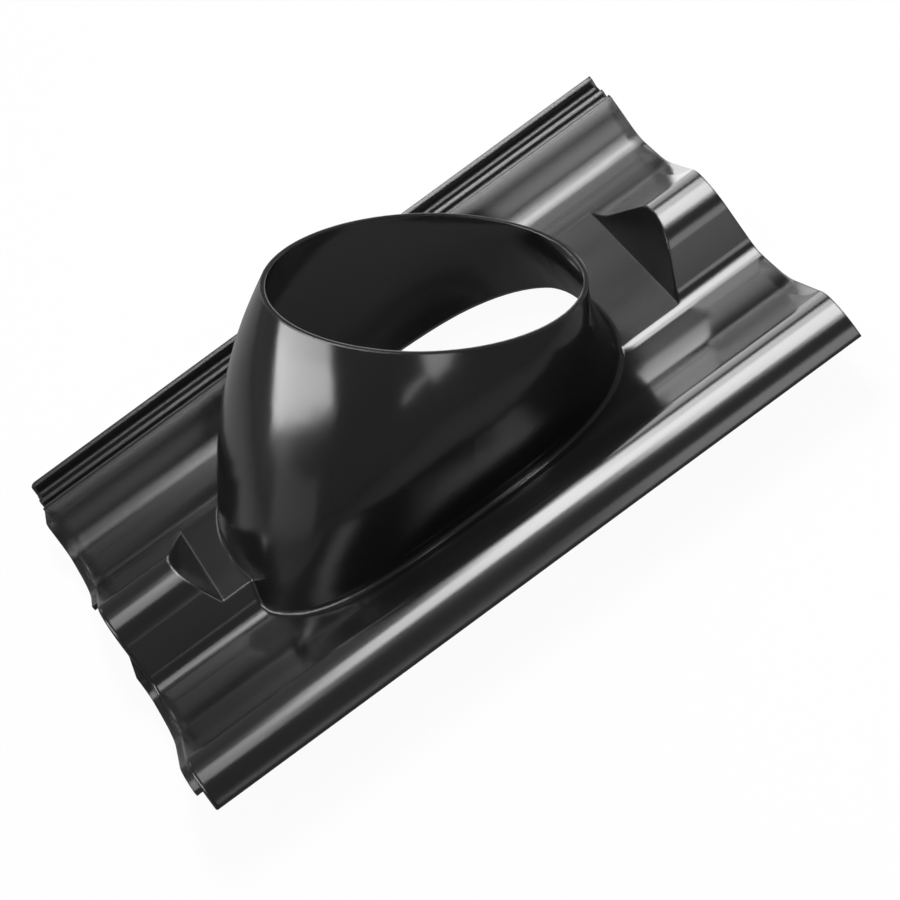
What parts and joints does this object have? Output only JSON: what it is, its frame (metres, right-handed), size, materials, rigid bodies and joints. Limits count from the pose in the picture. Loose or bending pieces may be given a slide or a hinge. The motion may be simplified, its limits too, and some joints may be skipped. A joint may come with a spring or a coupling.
{
  "type": "roof tile vent",
  "caption": "Wave-shaped interlocking roof tile with an oblique oval collar moulded through it for a roof vent pipe, with water ribs, foot lips and hanging nibs.",
  "frame": {"origin": "middle of the tile's length and width, level with the underside of the hanging nibs", "axes": "+X across the roof to the right lap, +Y up the slope to the head, +Z out of the roof"},
  "size_m": [0.332, 0.42, 0.1564],
  "materials": {
    "black_plastic": "glossy black injection-moulded plastic"
  },
  "bodies": {
    "root": {"vent_tile": "black_plastic"}
  },
  "joints": []
}
